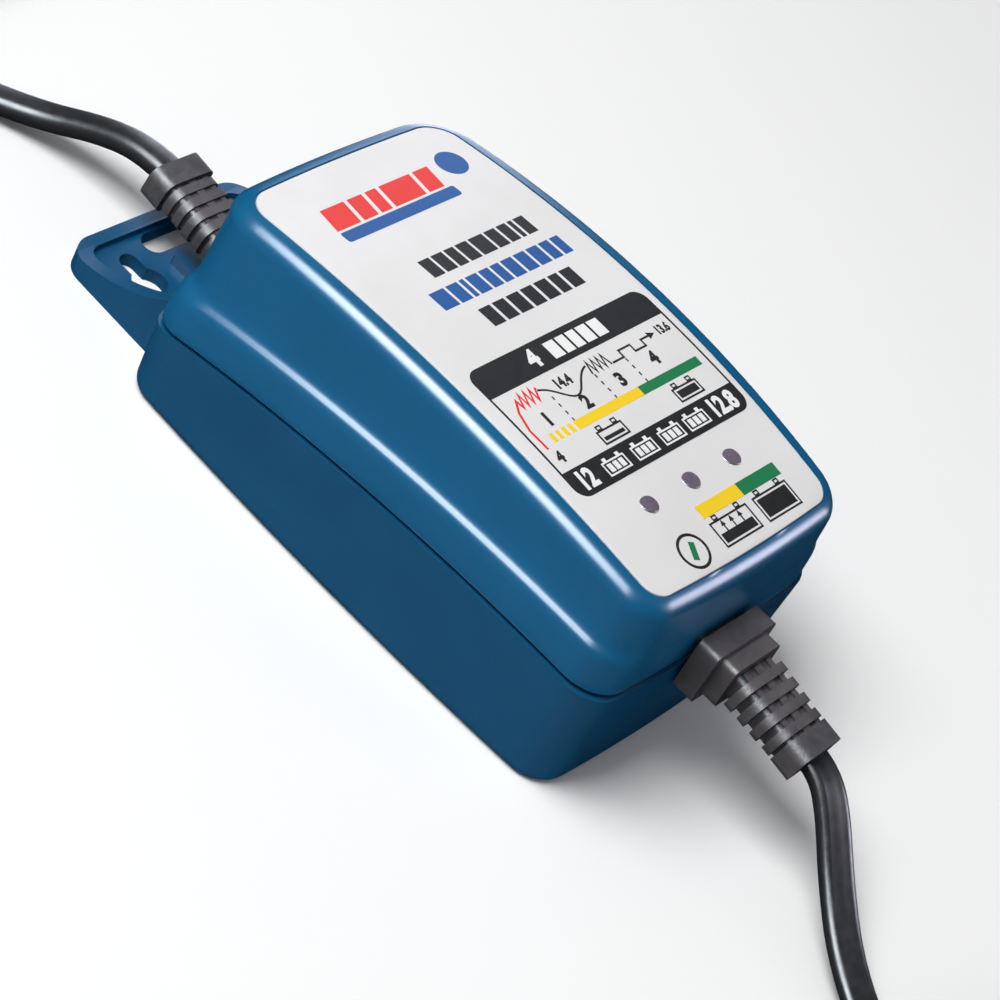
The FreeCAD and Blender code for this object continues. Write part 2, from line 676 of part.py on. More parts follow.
save("output_sleeve", output_sleeve().cut(output_lead))
save("output_cord", output_lead)
save("output_coil", coil(DC_COIL, OUTPUT_COIL_HEIGHT))
save("output_tie", tie(DC_COIL, 160, OUTPUT_COIL_HEIGHT))
save("output_tail", tube(lead_points(TAIL, DC_COIL + Vector(0, 0, CONNECTOR_Z), -1), CORD_D, "output tail"))
save("connector_body", placed(connector_body(), DC_COIL, -1, CONNECTOR_Z))
save("connector_contacts", placed(connector_contacts(), DC_COIL, -1, CONNECTOR_Z))
save("dust_cap", placed(dust_cap(), DC_COIL, -1, CONNECTOR_Z))

core, winding = transformer(7.0, 3.0)
save("circuit_board", circuit_board())
save("mains_fuse", fuse_link(-20.0, 26.0))
save("suppression_capacitor", on_board(15.0, 34.0, 17.0, 8.0, 14.0, 1.0))
save("mains_choke", choke(-8.0, 30.0))
save("bridge_rectifier", on_board(13.0, 24.0, 15.0, 4.0, 12.0, 0.8, 3.0).multiFuse(
    pins_under(13.0, 24.0, [(-5.5, 0), (-1.8, 0), (1.8, 0), (5.5, 0)], 0.5)).common(on_board(13, 24, 40, 40, 40)))
save("bulk_capacitor", can(-16.0, 5.0, 8.0, 25.0))
save("transformer_core", core)
save("transformer_winding", winding)
save("switching_transistor", power_package(-4.5, 20.5, 1))
save("output_diode", power_package(19.0, -16.0, 1))
save("diode_heatsink", heatsink(22.6, -16.0, 1))
save("output_capacitors", Part.makeCompound([can(-8.0, -17.0, 5.0, 18.0), can(-20.0, -17.0, 5.0, 18.0)]))
save("optocoupler", on_board(4.0, -14.0, 6.4, 4.6, 3.4, lift=0.4).multiFuse(
    pins_under(4.0, -14.0, [(-3.4, -1.3), (-3.4, 1.3), (3.4, -1.3), (3.4, 1.3)])))
save("controller_chip", on_board(4.0, -24.0, 9.8, 3.9, 1.6, lift=0.2).multiFuse(
    [on_board(4.0 + dx, -24.0, 0.4, 6.0, 0.8) for dx in (-3.8, -2.5, -1.3, 0, 1.3, 2.5, 3.8)]))
save("status_lights", status_lights())
save("mains_wires", wire_pair(HALF_LENGTH - 8.7, HALF_LENGTH - 11, AC_Z + 0.6, 4.0, 1.1, 35.6))
save("output_wires", wire_pair(-HALF_LENGTH + 8.6, -HALF_LENGTH + 11, DC_Z, 4.0, 1.1, -36.4))
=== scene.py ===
import json
import math

import bmesh
import bpy
from mathutils import Matrix, Vector


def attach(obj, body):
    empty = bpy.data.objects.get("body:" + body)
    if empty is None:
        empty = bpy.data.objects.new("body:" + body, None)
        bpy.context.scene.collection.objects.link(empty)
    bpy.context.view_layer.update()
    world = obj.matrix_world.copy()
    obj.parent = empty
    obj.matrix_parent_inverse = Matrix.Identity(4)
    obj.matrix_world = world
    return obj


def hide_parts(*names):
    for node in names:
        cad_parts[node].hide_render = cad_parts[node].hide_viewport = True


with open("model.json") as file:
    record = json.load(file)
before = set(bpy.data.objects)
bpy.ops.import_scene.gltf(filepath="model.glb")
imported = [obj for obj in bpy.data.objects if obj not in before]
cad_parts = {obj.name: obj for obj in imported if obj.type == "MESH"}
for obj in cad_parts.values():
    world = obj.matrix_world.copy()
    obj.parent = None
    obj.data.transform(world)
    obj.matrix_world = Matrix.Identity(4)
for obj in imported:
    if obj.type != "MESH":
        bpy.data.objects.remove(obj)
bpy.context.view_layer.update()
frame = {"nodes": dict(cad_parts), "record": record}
MM = 0.001
scene = bpy.context.scene

# ---- camera ----
lens = bpy.data.cameras.new("camera")
lens.sensor_width = 36.0
lens.lens = 122.4
lens.clip_start = 0.01
lens.clip_end = 20
camera = bpy.data.objects.new("camera", lens)
scene.collection.objects.link(camera)
camera.matrix_world = Matrix(
    (
        (0.6139, 0.3358, -0.7144, -0.38454),
        (-0.6874, 0.6723, -0.2747, -0.15524),
        (0.3881, 0.6598, 0.6435, 0.35782),
        (0, 0, 0, 1),
    )
)
scene.camera = camera


# ---- materials ----
def srgb(r, g, b):
    out = []
    for c in (r, g, b):
        c /= 255
        out.append(c / 12.92 if c <= 0.04045 else ((c + 0.055) / 1.055) ** 2.4)
    return (*out, 1.0)


def material(
    name, light, dark, patch=60.0, rough=(0.3, 0.4), grain=2500.0, bump=0.1, metal=0.0, coat=0.0, level=0.5, smudge=9.0
):
    """A moulded or printed surface: slow colour drift, uneven gloss and a fine moulded grain."""
    m = bpy.data.materials.new(name)
    m.use_nodes = True
    tree = m.node_tree
    shader = tree.nodes["Principled BSDF"]
    shader.inputs["Metallic"].default_value = metal
    shader.inputs["Coat Weight"].default_value = coat
    shader.inputs["Coat Roughness"].default_value = 0.15
    shader.inputs["Specular IOR Level"].default_value = level
    place = tree.nodes.new("ShaderNodeTexCoord")

    def noise(scale, detail):
        n = tree.nodes.new("ShaderNodeTexNoise")
        n.inputs["Scale"].default_value = scale
        n.inputs["Detail"].default_value = detail
        tree.links.new(place.outputs["Object"], n.inputs["Vector"])
        return n.outputs["Fac"]

    drift = noise(patch, 3.0)
    ramp = tree.nodes.new("ShaderNodeValToRGB")
    ramp.color_ramp.elements[0].position = 0.3
    ramp.color_ramp.elements[1].position = 0.7
    ramp.color_ramp.elements[0].color = srgb(*dark)
    ramp.color_ramp.elements[1].color = srgb(*light)
    tree.links.new(drift, ramp.inputs["Fac"])
    tree.links.new(ramp.outputs["Color"], shader.inputs["Base Color"])
    gloss = tree.nodes.new("ShaderNodeMapRange")
    gloss.inputs["From Min"].default_value = 0.3
    gloss.inputs["From Max"].default_value = 0.7
    gloss.inputs["To Min"].default_value = rough[0]
    gloss.inputs["To Max"].default_value = rough[1]
    tree.links.new(noise(patch * smudge, 4.0), gloss.inputs["Value"])
    tree.links.new(gloss.outputs["Result"], shader.inputs["Roughness"])
    relief = tree.nodes.new("ShaderNodeBump")
    relief.inputs["Strength"].default_value = bump
    relief.inputs["Distance"].default_value = 0.0001
    tree.links.new(noise(grain, 2.0), relief.inputs["Height"])
    tree.links.new(relief.outputs["Normal"], shader.inputs["Normal"])
    return m


BLUE = material("case_blue", (0, 96, 142), (0, 91, 136), rough=(0.28, 0.31), grain=5200, bump=0.025)
# a darker copy of the case blue for the lower shell: painted shade, the same plastic darkened for the shade its sides
# sit in
BLUE_SHADED = material("case_blue_painted_shade", (0, 82, 124), (0, 77, 118), rough=(0.3, 0.33), grain=5200, bump=0.025)
LABEL = material("label_white", (228, 227, 228), (221, 220, 220), rough=(0.48, 0.56), grain=900, bump=0.03, level=0.32)
RUBBER = material("black_rubber", (92, 87, 90), (54, 51, 53), rough=(0.45, 0.6), grain=1500, bump=0.7)
FLEX = material("flex_black", (38, 39, 41), (30, 31, 33), rough=(0.32, 0.42), grain=1500, bump=0.15)
STRAP = material("strap_black", (30, 30, 32), (22, 22, 24), rough=(0.35, 0.45), grain=1800, bump=0.1)
SEAL = material("seal_black", (26, 26, 28), (18, 18, 20), rough=(0.6, 0.7), grain=1800, bump=0.2)
WINDOW = material(
    "light_window", (118, 106, 122), (104, 93, 110), patch=400, rough=(0.2, 0.3), grain=1200, bump=0.05, coat=0.3
)
INK_BLACK = material("ink_black", (24, 24, 26), (18, 18, 20), rough=(0.46, 0.54), grain=1400, bump=0.04, level=0.32)
INK_RED = material("ink_red", (230, 40, 26), (222, 34, 22), rough=(0.46, 0.54), grain=1400, bump=0.04, level=0.32)
INK_BLUE = material("ink_blue", (0, 84, 158), (0, 78, 150), rough=(0.46, 0.54), grain=1400, bump=0.04, level=0.32)
INK_YELLOW = material("ink_yellow", (248, 211, 6), (245, 205, 0), rough=(0.46, 0.54), grain=1400, bump=0.04, level=0.32)
INK_GREEN = material("ink_green", (0, 124, 74), (0, 118, 70), rough=(0.46, 0.54), grain=1400, bump=0.04, level=0.32)
INK_WHITE = material("ink_white", (240, 240, 240), (234, 234, 234), rough=(0.46, 0.54), grain=1400, bump=0.04, level=0.32)
SLOTS = {
    "case_plastic": BLUE,
    "seal_rubber": SEAL,
    "label_film": LABEL,
    "plate_film": material("plate_silver", (196, 198, 200), (184, 186, 189), rough=(0.3, 0.4), metal=0.6),
    "steel": material("screw_steel", (172, 173, 176), (150, 151, 154), rough=(0.25, 0.4), metal=1.0, grain=1200),
    "light_window": WINDOW,
    "black_rubber": RUBBER,
    "tie_plastic": STRAP,
    "pin_metal": material("pin_nickel", (206, 204, 198), (190, 187, 180), rough=(0.18, 0.3), metal=1.0, grain=1600),
    "cap_rubber": material("cap_rubber", (44, 43, 45), (34, 33, 35), rough=(0.5, 0.62), grain=2200, bump=0.3),
    "board": material("board_green", (22, 96, 56), (16, 80, 46), patch=300, rough=(0.3, 0.4)),
    "glass_fuse": material("fuse_glass", (206, 214, 214), (190, 199, 200), rough=(0.05, 0.12), coat=0.5),
    "yellow_box": material("capacitor_yellow", (222, 176, 30), (210, 164, 24), rough=(0.35, 0.45)),
    "copper_winding": material("winding_copper", (186, 106, 58), (160, 86, 44), patch=900, rough=(0.25, 0.4), metal=0.8),
    "chip_plastic": material("chip_black", (34, 34, 36), (26, 26, 28), rough=(0.5, 0.6), grain=4000, bump=0.3),
    "capacitor_sleeve": material("capacitor_sleeve", (38, 42, 66), (28, 31, 52), rough=(0.25, 0.35)),
    "ferrite": material("ferrite_grey", (62, 62, 64), (50, 50, 52), rough=(0.5, 0.65), grain=1800, bump=0.3),
    "winding_tape": material("winding_tape", (224, 196, 70), (212, 182, 58), rough=(0.3, 0.4)),
    "heatsink_alloy": material("heatsink_alloy", (178, 180, 184), (160, 162, 166), rough=(0.3, 0.45), metal=0.9),
    "lamp_plastic": material("lamp_clear", (214, 218, 222), (200, 205, 210), rough=(0.1, 0.2), coat=0.4),
    "wire_insulation": material("wire_black", (30, 30, 32), (24, 24, 26), rough=(0.35, 0.45)),
    "wire_insulation_red": material("wire_red", (170, 26, 22), (150, 20, 18), rough=(0.35, 0.45)),
}
for part in frame["record"]["subparts"]:
    mesh = frame["nodes"][part["node"]].data
    mesh.materials.clear()
    # the bottom shell takes the darker copy of the case blue, which is painted shade
    mesh.materials.append(BLUE_SHADED if part["node"] == "bottom_shell" else SLOTS[part["material_slot"]])


# ---- mesh building ----
def new_piece(name, verts, faces, mat, body="charger", sharp=35.0, replaced=()):
    """A smooth-shaded piece in millimetres, riding on a body."""
    mesh = bpy.data.meshes.new(name)
    mesh.from_pydata([Vector(v) * MM for v in verts], [], faces)
    mesh.materials.append(mat)
    obj = bpy.data.objects.new(name, mesh)
    scene.collection.objects.link(obj)
    bm = bmesh.new()
    bm.from_mesh(mesh)
    bmesh.ops.remove_doubles(bm, verts=bm.verts, dist=1e-7)
    bmesh.ops.recalc_face_normals(bm, faces=bm.faces)
    bm.to_mesh(mesh)
    bm.free()
    for p in mesh.polygons:
        p.use_smooth = True
    mesh.set_sharp_from_angle(angle=math.radians(sharp))
    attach(obj, body)
    if replaced:
        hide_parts(*replaced)
    return obj


def loft(rings, cap_first=True, cap_last=True):
    """Vertices and faces of a skin over closed rings of equal length."""
    n = len(rings[0])
    verts = [p for ring in rings for p in ring]
    faces = []
    for k in range(len(rings) - 1):
        for i in range(n):
            j = (i + 1) % n
            faces.append((k * n + i, k * n + j, (k + 1) * n + j, (k + 1) * n + i))
    if cap_first:
        faces.append(tuple(reversed(range(n))))
    if cap_last:
        faces.append(tuple(range((len(rings) - 1) * n, len(rings) * n)))
    return verts, faces


# ---- cords ----
AC_LEAD = [
    (0.0, 72.2, 12.2),
    (0.0, 78.0, 12.2),
    (-0.5, 87.0, 8.9),
    (-3.0, 97.0, 4.0),
    (-9.0, 109.0, 2.2),
    (-17.0, 121.0, 2.2),
    (-24.5, 133.0, 2.3),
    (-27.6, 140.5, 2.4),
]
DC_LEAD = [
    (0.0, -72.3, 18.4),
    (-0.1, -75.6, 17.8),
    (-1.8, -80.6, 14.6),
    (-5.4, -87.6, 8.8),
    (-11.0, -96.8, 4.0),
    (-16.6, -107.6, 1.9),
    (-22.5, -119.5, 1.9),
    (-26.6, -131.0, 1.9),
    (-28.4, -138.5, 1.9),
]
AC_TAIL = [
    (29.9, -8.0, 15.4),
    (27.8, -16.0, 17.6),
    (17.9, -26.0, 20.6),
    (6.9, -29.6, 23.2),
    (-4.4, -27.8, 24.2),
    (-13.8, -21.0, 24.6),
    (-19.0, -10.8, 24.6),
    (-19.0, -1.0, 24.6),
]
DC_TAIL = [
    (29.9, 8.0, 11.6),
    (27.8, 16.0, 12.6),
    (17.9, 26.0, 14.6),
    (6.9, 29.6, 16.6),
    (-4.4, 27.8, 17.6),
    (-13.8, 21.0, 18.0),
    (-19.0, 10.8, 18.0),
    (-19.0, 1.0, 18.0),
]
COIL_Y = {"mains": 167.0, "output": -158.0}
PER_TURN = 24


def ease(t):
    t = min(max(t, 0.0), 1.0)
    return t * t * (3 - 2 * t)


def coil_points(middle_y, start, end, way, pitch, base):
    """Turns laid two wide, in and out by turns, from a start to an end angle in degrees; way is +1 or -1."""
    radii = [34.1, 28.0, 27.8, 34.0, 34.2, 27.9, 28.6, 31.0]
    levels = [0, 0, 1, 1, 2, 2, 3, 3]
    total = abs(end - start) / 360
    count = round(total * PER_TURN)
    shrink = math.cos(math.pi / PER_TURN)
    points = []
    for k in range(1, count):
        turn = k / PER_TURN
        lap = int(turn)
        move = ease((turn - lap - 0.72) / 0.26)
        after = min(lap + 1, len(radii) - 1)
        r = radii[lap] + (radii[after] - radii[lap]) * move
        z = base + pitch * (levels[lap] + (levels[after] - levels[lap]) * move)
        a = math.radians(start + way * 360 * turn)
        r += 0.22 * math.sin(2.3 * a + 1.7 * lap) + 0.15 * math.sin(5.1 * a + lap)
        z += 0.12 * math.sin(1.9 * a + lap) if levels[lap] else 0.0
        r /= shrink
        points.append((r * math.cos(a), middle_y + r * math.sin(a), z))
    return points


def route(lead, tail, middle_y, start, end, way, pitch, base):
    turns = coil_points(middle_y, start, end, way, pitch, base)
    return lead + turns + [(x, y + middle_y, z) for x, y, z in tail]


def spline_path(points):
    """The smooth line that the route's points control, as closely spaced points in metres."""
    data = bpy.data.curves.new("route", "CURVE")
    data.dimensions = "3D"
    line = data.splines.new("NURBS")
    line.points.add(len(points) - 1)
    for p, co in zip(line.points, points):
        p.co = (co[0] * MM, co[1] * MM, co[2] * MM, 1)
    line.order_u = 3
    line.use_endpoint_u = True
    data.resolution_u = 5
    holder = bpy.data.objects.new("route", data)
    scene.collection.objects.link(holder)
    mesh = bpy.data.meshes.new_from_object(holder)
    path = [v.co.copy() for v in mesh.vertices]
    bpy.data.objects.remove(holder)
    bpy.data.curves.remove(data)
    bpy.data.meshes.remove(mesh)
    return path


def sweep(name, path, section, mat):
    """A flat flex: a section in millimetres (across, up) carried along a path with its wide side level."""
    rings = []
    for i, p in enumerate(path):
        along = (path[min(i + 1, len(path) - 1)] - path[max(i - 1, 0)]).normalized()
        across = Vector((0, 0, 1)).cross(along).normalized()
        up = along.cross(across)
        rings.append([(p / MM) + across * u + up * v for u, v in section])
    verts, faces = loft(rings)
    return new_piece(name, verts, faces, mat, sharp=50)


def flat_oval(width, height, n=20):
    """Two half-round ends joined by flat sides."""
    r = height / 2
    shift = width / 2 - r
    out = []
    for k in range(n):
        a = 2 * math.pi * (k + 0.5) / n
        out.append((math.cos(a) * r + (shift if math.cos(a) > 0 else -shift), math.sin(a) * r))
    return out


def twin_flex(width, height, ridges=3):
    """A flat twin flex: rounded edges, a shallow valley between the cores and fine ridges on its faces."""
    out = []
    n = 44
    for k in range(n):
        a = 2 * math.pi * (k + 0.5) / n
        c, s = math.cos(a), math.sin(a)
        u = math.copysign(abs(c) ** 0.62, c) * width / 2
        v = math.copysign(abs(s) ** 0.75, s) * height / 2
        groove = 0.42 * math.exp(-((u / 0.5) ** 2)) + 0.18 * math.exp(-(((abs(u) - 1.3) / 0.25) ** 2))
        v -= math.copysign(groove, v)
        out.append((u, v))
    return out


mains_path = spline_path(route(AC_LEAD, AC_TAIL, COIL_Y["mains"], 212.0, -10.0 - 6 * 360, -1, 4.15, 2.1))
output_path = spline_path(route(DC_LEAD, DC_TAIL, COIL_Y["output"], 150.0, 12.0 + 7 * 360, 1, 3.2, 1.8))
mains_flex = sweep("mains_flex", mains_path, flat_oval(6.0, 3.9), FLEX)
output_flex = sweep("output_flex", output_path, twin_flex(6.0, 3.0), FLEX)
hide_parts("mains_cord", "mains_coil", "mains_tail")
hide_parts("output_cord", "output_coil", "output_tail")


# ---- the case's form ----
HALF_LENGTH = 49.7
CROWN = 43.4
ARCH_SAG = 4.66
SEAM = 0.55
SIDE_BOW = 2.0
END_BOW = 1.0
TOP_W, TOP_FRONT, TOP_BACK, TOP_R = 28.35, 48.5, 48.35, 3.0
TOP_CORNER = (6.0, 8.6)


def parting(y):
    return 21.5 - 4.9 * (y / HALF_LENGTH) ** 2 - 4.2 * y / HALF_LENGTH


def arch(y):
    return CROWN - ARCH_SAG * (y / HALF_LENGTH) ** 2


def bowed_ring(w, front, back, r_front, r_back, side_bow=SIDE_BOW, end_bow=END_BOW, middle=0.0):
    """A rounded rectangle in plan whose sides and ends bow outwards, counter-clockwise from the middle of +X."""
    pts = []
    sides, ends, arc = 26, 18, 12

    def line(a, b, n):
        for k in range(n):
            t = k / n
            pts.append((a[0] + (b[0] - a[0]) * t, a[1] + (b[1] - a[1]) * t))

    def corner(cx, cy, r, a0):
        for k in range(arc):
            a = math.radians(a0 + 90 * k / arc)
            pts.append((cx + r * math.cos(a), cy + r * math.sin(a)))

    line((w, 0), (w, back - r_back), sides // 2)
    corner(w - r_back, back - r_back, r_back, 0)
    line((w - r_back, back), (-(w - r_back), back), ends)
    corner(-(w - r_back), back - r_back, r_back, 90)
    line((-w, back - r_back), (-w, -(front - r_front)), sides)
    corner(-(w - r_front), -(front - r_front), r_front, 180)
    line((-(w - r_front), -front), (w - r_front, -front), ends)
    corner(w - r_front, -(front - r_front), r_front, 270)
    line((w, -(front - r_front)), (w, 0), sides // 2)
    out = []
    for x, y in pts:
        fx = 1 - side_bow / w * (y / HALF_LENGTH) ** 2
        fy = 1 - end_bow / HALF_LENGTH * (x / w) ** 2
        out.append((x * fx, y * fy + middle))
    return out


def upper_case():
    rings = []

    def ring(w, front, back, rf, rb, z):
        rings.append([(x, y, z(y)) for x, y in bowed_ring(w, front, back, rf, rb)])

    low = [
        (29.4, 47.1, 47.1, 5.4, 5.4, 1.6),
        (29.4, 47.1, 47.1, 5.4, 5.4, SEAM),
        (30.95, 48.65, 48.65, 6.4, 6.3, SEAM),
        (31.12, 48.82, 48.82, 6.5, 6.4, SEAM + 0.07),
        (31.2, 48.9, 48.9, 6.5, 6.4, SEAM + 0.25),
        (31.19, 48.88, 48.88, 6.5, 6.5, 2.2),
        (31.17, 48.86, 48.84, 6.6, 6.7, 4.4),
        (31.1, 48.84, 48.8, 6.7, 7.1, 5.9),
        (30.98, 48.82, 48.74, 6.8, 7.5, 6.8),
        (30.74, 48.8, 48.68, 6.8, 7.9, 7.45),
        (30.4, 48.78, 48.62, 6.9, 8.3, 7.9),
        (29.98, 48.77, 48.58, 6.9, 8.7, 8.25),
        (29.64, 48.76, 48.56, 6.8, 8.9, 8.65),
        (29.36, 48.74, 48.54, 6.7, 9.1, 9.2),
    ]
    for w, f, b, rf, rb, a in low:
        ring(w, f, b, rf, rb, lambda y, a=a: parting(y) + a)
    slant = [
        (29.1, 48.72, 48.5, 6.6, 9.1, 0.11),
        (28.87, 48.7, 48.47, 6.5, 9.1, 0.27),
        (28.67, 48.66, 48.44, 6.4, 9.0, 0.47),
        (28.52, 48.62, 48.42, 6.2, 9.0, 0.7),
        (TOP_W + 0.06, TOP_FRONT + 0.03, TOP_BACK + 0.01, 6.1, 9.0, 0.92),
    ]
    for w, f, b, rf, rb, t in slant:
        ring(w, f, b, rf, rb, lambda y, t=t: (1 - t) * (parting(y) + 9.2) + t * (arch(y) - TOP_R))
    for k in range(0, 10):
        a = math.radians(k * 8.4)
        e = TOP_R * (1 - math.cos(a))
        rf, rb = TOP_CORNER
        front, back = rf - e * 0.6, rb - e * 0.6
        ring(TOP_W - e, TOP_FRONT - e, TOP_BACK - e, front, back, lambda y, a=a: arch(y) - TOP_R * (1 - math.sin(a)))
    edge = bowed_ring(24.7, 45.8, 45.8, 3.7, 5.2, 1.5, 0.7, -0.4)
    inside = bowed_ring(24.64, 45.74, 45.74, 3.7, 5.2, 1.5, 0.7, -0.4)
    rings.append([(x, y, skin(x, y)) for x, y in edge])
    rings.append([(x, y, skin(x, y) - 0.4) for x, y in inside])
    for k in (0.9, 0.6, 0.3):
        rings.append([(x * k, y * k, arch(y * k) - 0.45) for x, y in inside])
    verts, faces = loft(rings, False, True)
    return new_piece("upper_case", verts, faces, BLUE, sharp=60, replaced=("top_shell",))


def skin(x, y):
    """Height of the upper case's outside near its top."""
    w = TOP_W - SIDE_BOW * (y / HALF_LENGTH) ** 2
    reach = (TOP_BACK if y > 0 else TOP_FRONT) - END_BOW * (x / TOP_W) ** 2
    r = TOP_CORNER[1] if y > 0 else TOP_CORNER[0]
    qx, qy = abs(x) - (w - r), abs(y) - (reach - r)
    inward = r - math.hypot(max(qx, 0), max(qy, 0)) - min(max(qx, qy), 0)
    e = TOP_R - min(max(inward, 0.0), TOP_R)
    return arch(y) - (TOP_R - math.sqrt(TOP_R**2 - e**2))


upper_case()


# ---- face label and its print ----
def label():
    rings = []
    for inset, drop in ((0.0, 0.42), (0.0, 0.08), (0.05, 0.02), (0.12, 0.0), (1.0, 0.0), (2.5, 0.0), (5.0, 0.0)):
        corners = (3.4 - min(inset, 2.3), 4.9 - min(inset, 3.0))
        ring = bowed_ring(24.4 - inset, 45.5 - inset, 45.5 - inset, *corners, 1.5, 0.7, -0.4)
        rings.append([(x, y, skin(x, y) - drop) for x, y in ring])
    ring = bowed_ring(19.4, 40.5, 40.5, 1.0, 1.0, 1.5, 0.7, -0.4)
    for k in (0.8, 0.6, 0.4, 0.2, 0.05):
        rings.append([(x * k, y * k, arch(y * k)) for x, y in ring])
    verts, faces = loft(rings)
    return new_piece("label_sheet", verts, faces, LABEL, sharp=50, replaced=("face_label",))


label()


def rect(x0, x1, y0, y1):
    return [[(x0, y0), (x1, y0), (x1, y1), (x0, y1)]]


def slanted(x0, x1, y0, y1, lean):
    return [[(x0, y0), (x1, y0), (x1 + lean, y1), (x0 + lean, y1)]]


def disc(cx, cy, r, n=28):
    return [[(cx + r * math.cos(2 * math.pi * k / n), cy + r * math.sin(2 * math.pi * k / n)) for k in range(n)]]


def band(cx, cy, inner, outer, a0=0.0, a1=360.0, n=32):
    out = []
    for k in range(n):
        p, q = (math.radians(a0 + (a1 - a0) * j / n) for j in (k, k + 1))
        out.append(
            [
                (cx + inner * math.cos(p), cy + inner * math.sin(p)),
                (cx + outer * math.cos(p), cy + outer * math.sin(p)),
                (cx + outer * math.cos(q), cy + outer * math.sin(q)),
                (cx + inner * math.cos(q), cy + inner * math.sin(q)),
            ]
        )
    return out


def rounded(x0, x1, y0, y1, radii, n=8):
    """Radii of the corners at (x1,y1), (x0,y1), (x0,y0), (x1,y0)."""
    pts = []
    for (cx, cy, a0), r in zip(((x1, y1, 0), (x0, y1, 90), (x0, y0, 180), (x1, y0, 270)), radii):
        sx, sy = (1 if cx == x1 else -1), (1 if cy == y1 else -1)
        if not r:
            pts.append((cx, cy))
            continue
        for k in range(n + 1):
            a = math.radians(a0 + 90 * k / n)
            pts.append((cx - sx * r + r * math.cos(a), cy - sy * r + r * math.sin(a)))
    return [pts]


def stroke(points, width):
    """A mitred line of one width through points."""
    left, right = [], []
    for i, (x, y) in enumerate(points):
        ax, ay = points[max(i - 1, 0)]
        bx, by = points[min(i + 1, len(points) - 1)]
        dirs = []
        if i > 0:
            d = math.hypot(x - ax, y - ay)
            dirs.append(((x - ax) / d, (y - ay) / d))
        if i < len(points) - 1:
            d = math.hypot(bx - x, by - y)
            dirs.append(((bx - x) / d, (by - y) / d))
        tx, ty = sum(d[0] for d in dirs), sum(d[1] for d in dirs)
        t = math.hypot(tx, ty)
        tx, ty = tx / t, ty / t
        half = width / 2 / max(0.35, tx * dirs[0][0] + ty * dirs[0][1])
        left.append((x - ty * half, y + tx * half))
        right.append((x + ty * half, y - tx * half))
    return [[left[k], right[k], right[k + 1], left[k + 1]] for k in range(len(points) - 1)]


def frame_of(x0, x1, y0, y1, t):
    ends = rect(x0, x1, y0, y0 + t) + rect(x0, x1, y1 - t, y1)
    return ends + rect(x0, x0 + t, y0 + t, y1 - t) + rect(x1 - t, x1, y0 + t, y1 - t)


def digits(text, x, y, height, stretch=1.0):
    """Plain figures, centred on a point."""
    data = bpy.data.curves.new("figures", "FONT")
    data.body = text
    data.size = 1.0
    data.align_x = "CENTER"
    data.align_y = "CENTER"
    data.resolution_u = 3
    data.offset = 0.045
    holder = bpy.data.objects.new("figures", data)
    scene.collection.objects.link(holder)
    mesh = bpy.data.meshes.new_from_object(holder)
    k = height / 0.72
    at = [(x + v.co.x * k * stretch, y + v.co.y * k) for v in mesh.vertices]
    out = [[at[v] for v in p.vertices] for p in mesh.polygons]
    bpy.data.objects.remove(holder)
    bpy.data.curves.remove(data)
    bpy.data.meshes.remove(mesh)
    return out


def blocks(x0, x1, y, height, widths, gap=0.5, lean=0.0):
    """A row of plain blocks where a line of print would be."""
    total = sum(widths) + gap * (len(widths) - 1)
    k = (x1 - x0) / total
    out, x = [], x0
    for w in widths:
        out += slanted(x, x + w * k, y - height / 2, y + height / 2, lean)
        x += (w + gap) * k
    return out


def printed(name, polygons, mat, lift):
    """Ink on the label: flat shapes cut to follow its curve, with a little thickness."""
    bm = bmesh.new()
    for poly in polygons:
        vs = [bm.verts.new((px, py, 0)) for px, py in poly]
        try:
            bm.faces.new(vs)
        except ValueError:
            pass
    bmesh.ops.remove_doubles(bm, verts=bm.verts, dist=1e-5)
    for k in range(-16, 17):
        geom = bm.verts[:] + bm.edges[:] + bm.faces[:]
        bmesh.ops.bisect_plane(bm, geom=geom, plane_co=(0, k * 3.0, 0), plane_no=(0, 1, 0))
    bmesh.ops.triangulate(bm, faces=[f for f in bm.faces if len(f.verts) > 4])
    bmesh.ops.recalc_face_normals(bm, faces=bm.faces)
    for f in bm.faces:
        if f.normal.z < 0:
            f.normal_flip()
    verts = [(v.co.x, v.co.y, skin(v.co.x, v.co.y) + lift) for v in bm.verts]
    bm.verts.index_update()
    faces = [tuple(v.index for v in f.verts) for f in bm.faces]
    open_loops = [e.link_loops[0] for e in bm.edges if len(e.link_loops) == 1]
    rim = [(loop.vert.index, loop.link_loop_next.vert.index) for loop in open_loops]
    bm.free()
    n = len(verts)
    verts += [(x, y, z - lift - 0.02) for x, y, z in verts]
    sides = [(a, b, b + n, a + n)[::-1] for a, b in rim]
    return new_piece(name, verts, faces + sides, mat, sharp=30)


red, blue, black, white, yellow, green = [], [], [], [], [], []
# a plain mark: four leaning blocks, a disc and a bar
red += blocks(-15.5, 10.5, 34.2, 5.0, (5.2, 3.2, 2.4, 7.0, 3.4), 0.8, 1.2)
blue += disc(16.6, 35.4, 2.9)
blue += rounded(-15.6, 11.9, 28.9, 31.2, (0.5, 0.5, 0.5, 0.5))
black += blocks(-9, 17, 18.6, 3.9, (2.2, 2.2, 1.9, 2.3, 2.9, 2.2, 1.9, 0.8, 2.0))
blue += blocks(-13.2, 19, 12.5, 3.9, (2.9, 2.2, 0.8, 2.2, 1.9, 1.7, 2.2, 2.2, 2.2, 1.9, 1.7))
black += blocks(-8, 15, 6.4, 3.9, (2.1, 2.1, 2.2, 2.1, 2.2, 1.7, 2.1))
